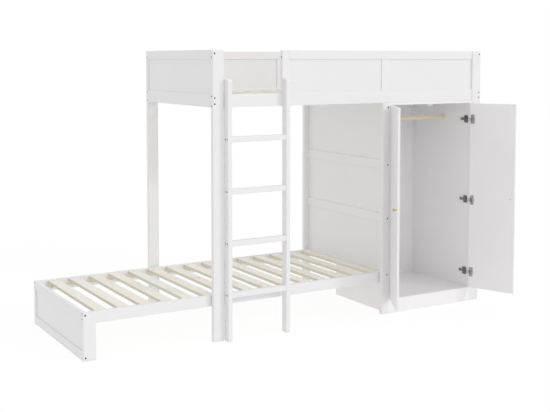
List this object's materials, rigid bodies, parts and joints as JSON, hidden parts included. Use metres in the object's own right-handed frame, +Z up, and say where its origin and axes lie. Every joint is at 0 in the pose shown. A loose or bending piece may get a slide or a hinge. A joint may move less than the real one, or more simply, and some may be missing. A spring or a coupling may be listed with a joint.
{
  "type": "bunk bed",
  "caption": "Loft bed with guards over a lower bed that runs out from under it, with a panelled frame, a two-door wardrobe under one half and a straight ladder.",
  "frame": {"origin": "centre of the foot of the loft's front left post, on the floor", "axes": "+Z up, +X to the right along both beds, +Y from the front to the back"},
  "size_m": [2.9351, 1.307, 1.74],
  "materials": {
    "painted_wood": "white satin paint over pine",
    "painted_board": "white satin lacquer on board",
    "painted_back_panel": "white foil on thin board",
    "bare_pine": "planed pine, unpainted",
    "rod_wood": "clear lacquered wood",
    "white_plastic": "moulded, matt",
    "brass_knob": "brushed brass colour",
    "zinc_plate": "zinc plated",
    "hinge_cup_steel": "nickel plated, dull",
    "dark_hinge_steel": "dark nickel plated",
    "dark_bolt_steel": "black oxide"
  },
  "bodies": {
    "bed": {"loft_post_front_left": "painted_wood", "loft_post_front_right": "painted_wood", "loft_post_back_left": "painted_wood", "loft_post_back_right": "painted_wood", "left_end_top_rail": "painted_wood", "left_end_bottom_rail": "painted_wood", "left_end_panel": "painted_wood", "right_end_top_rail": "painted_wood", "right_end_bottom_rail": "painted_wood", "right_end_panel": "painted_wood", "front_side_rail": "painted_wood", "back_side_rail": "painted_wood", "front_guard_top_rail": "painted_wood", "front_guard_stiles": "painted_wood", "front_guard_panels": "painted_wood", "back_guard_top_rail": "painted_wood", "back_guard_stile": "painted_wood", "back_guard_panels": "painted_wood", "loft_ledgers": "bare_pine", "loft_slats": "bare_pine", "footboard_leg_front": "painted_wood", "footboard_leg_back": "painted_wood", "footboard_top_rail": "painted_wood", "footboard_bottom_rail": "painted_wood", "footboard_panel": "painted_wood", "lower_side_rail_front": "painted_wood", "lower_side_rail_back": "painted_wood", "lower_ledgers": "bare_pine", "lower_slats": "bare_pine", "frame_post_front": "painted_wood", "frame_post_back": "painted_wood", "frame_rails": "painted_wood", "frame_panels": "painted_wood", "wardrobe_side_left": "painted_board", "wardrobe_side_right": "painted_board", "wardrobe_top": "painted_board", "wardrobe_floor": "painted_board", "wardrobe_back": "painted_back_panel", "wardrobe_plinth": "painted_board", "hanging_rod": "rod_wood", "rod_sockets": "white_plastic", "door_catch": "white_plastic", "left_hinge_arms": "dark_hinge_steel", "right_hinge_arms": "dark_hinge_steel", "ladder_stile_left": "painted_wood", "ladder_stile_right": "painted_wood", "ladder_rungs": "painted_wood", "connector_bolts": "dark_bolt_steel", "barrel_nuts": "zinc_plate", "slat_screws": "zinc_plate"},
    "left_door_body": {"left_door": "painted_board", "left_door_knob": "brass_knob", "left_door_strike": "zinc_plate", "left_hinge_cups": "hinge_cup_steel"},
    "right_door_body": {"right_door": "painted_board", "right_door_knob": "brass_knob", "right_door_strike": "zinc_plate", "right_hinge_cups": "hinge_cup_steel"},
    "left_links": {"left_hinge_links": "dark_hinge_steel"},
    "right_links": {"right_hinge_links": "dark_hinge_steel"}
  },
  "joints": [
    {"name": "left_door_hinge", "type": "hinge", "parent": "bed", "child": "left_door_body", "pos_m": [1.27475, -0.0122, 0.712], "axis": [0, 0, 1], "range_deg": [0, 120]},
    {"name": "right_door_hinge", "type": "hinge", "parent": "bed", "child": "right_door_body", "pos_m": [1.95725, -0.0122, 0.712], "axis": [0, 0, 1], "range_deg": [-112, 8]},
    {"name": "left_link_pins", "type": "hinge", "parent": "bed", "child": "left_links", "pos_m": [1.306, -0.0086, 0.712], "axis": [0, 0, 1], "range_deg": [0, 213.7]},
    {"name": "right_link_pins", "type": "hinge", "parent": "bed", "child": "right_links", "pos_m": [1.926, -0.0086, 0.712], "axis": [0, 0, 1], "range_deg": [-199.4, 14.3]}
  ],
  "couplings": [
    {"joint": "left_link_pins", "follows": "left_door_hinge", "ratio": 1.78},
    {"joint": "right_link_pins", "follows": "right_door_hinge", "ratio": 1.78}
  ]
}
